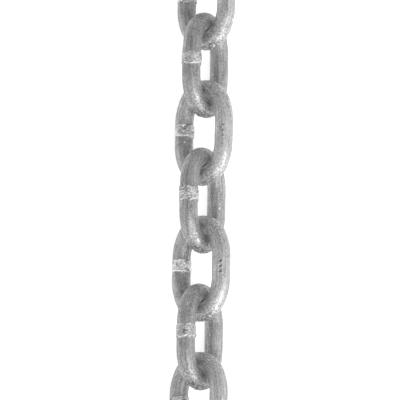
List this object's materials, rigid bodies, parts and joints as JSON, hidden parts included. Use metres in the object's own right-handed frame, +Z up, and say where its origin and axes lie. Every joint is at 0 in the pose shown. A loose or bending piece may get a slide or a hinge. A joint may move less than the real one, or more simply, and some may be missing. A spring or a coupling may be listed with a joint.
{
  "type": "length of steel link chain",
  "caption": "Straight length of welded galvanised steel link chain, each link turned a quarter turn from the next, laid out on a level floor.",
  "frame": {"origin": "on the floor, under the middle of the middle link", "axes": "+Y along the chain, +Z up; the links lean at 45 degrees to the left and right of +Z in turn"},
  "size_m": [0.0288, 0.3506, 0.0287],
  "materials": {
    "galvanised_steel": "dull hot-dip galvanised, with brighter butt welds"
  },
  "bodies": {
    "link_01": {"link_01": "galvanised_steel"},
    "link_02": {"link_02": "galvanised_steel"},
    "link_03": {"link_03": "galvanised_steel"},
    "link_04": {"link_04": "galvanised_steel"},
    "link_05": {"link_05": "galvanised_steel"},
    "link_06": {"link_06": "galvanised_steel"},
    "link_07": {"link_07": "galvanised_steel"},
    "link_08": {"link_08": "galvanised_steel"},
    "link_09": {"link_09": "galvanised_steel"}
  },
  "joints": [
    {"name": "link_06_swing", "type": "hinge", "parent": "link_05", "child": "link_06", "pos_m": [0, 0.0235, 0.01416], "axis": [-0.7071, 0, 0.7071], "range_deg": [-90, 90]},
    {"name": "link_07_swing", "type": "hinge", "parent": "link_06", "child": "link_07", "pos_m": [0, 0.0602, 0.01416], "axis": [0.7071, 0, 0.7071], "range_deg": [-90, 90]},
    {"name": "link_08_swing", "type": "hinge", "parent": "link_07", "child": "link_08", "pos_m": [0, 0.0969, 0.01416], "axis": [-0.7071, 0, 0.7071], "range_deg": [-90, 90]},
    {"name": "link_09_swing", "type": "hinge", "parent": "link_08", "child": "link_09", "pos_m": [0, 0.1336, 0.01416], "axis": [0.7071, 0, 0.7071], "range_deg": [-90, 90]},
    {"name": "link_04_swing", "type": "hinge", "parent": "link_05", "child": "link_04", "pos_m": [0, -0.0235, 0.01416], "axis": [-0.7071, 0, 0.7071], "range_deg": [-90, 90]},
    {"name": "link_03_swing", "type": "hinge", "parent": "link_04", "child": "link_03", "pos_m": [0, -0.0602, 0.01416], "axis": [0.7071, 0, 0.7071], "range_deg": [-90, 90]},
    {"name": "link_02_swing", "type": "hinge", "parent": "link_03", "child": "link_02", "pos_m": [0, -0.0969, 0.01416], "axis": [-0.7071, 0, 0.7071], "range_deg": [-90, 90]},
    {"name": "link_01_swing", "type": "hinge", "parent": "link_02", "child": "link_01", "pos_m": [0, -0.1336, 0.01416], "axis": [0.7071, 0, 0.7071], "range_deg": [-90, 90]}
  ]
}
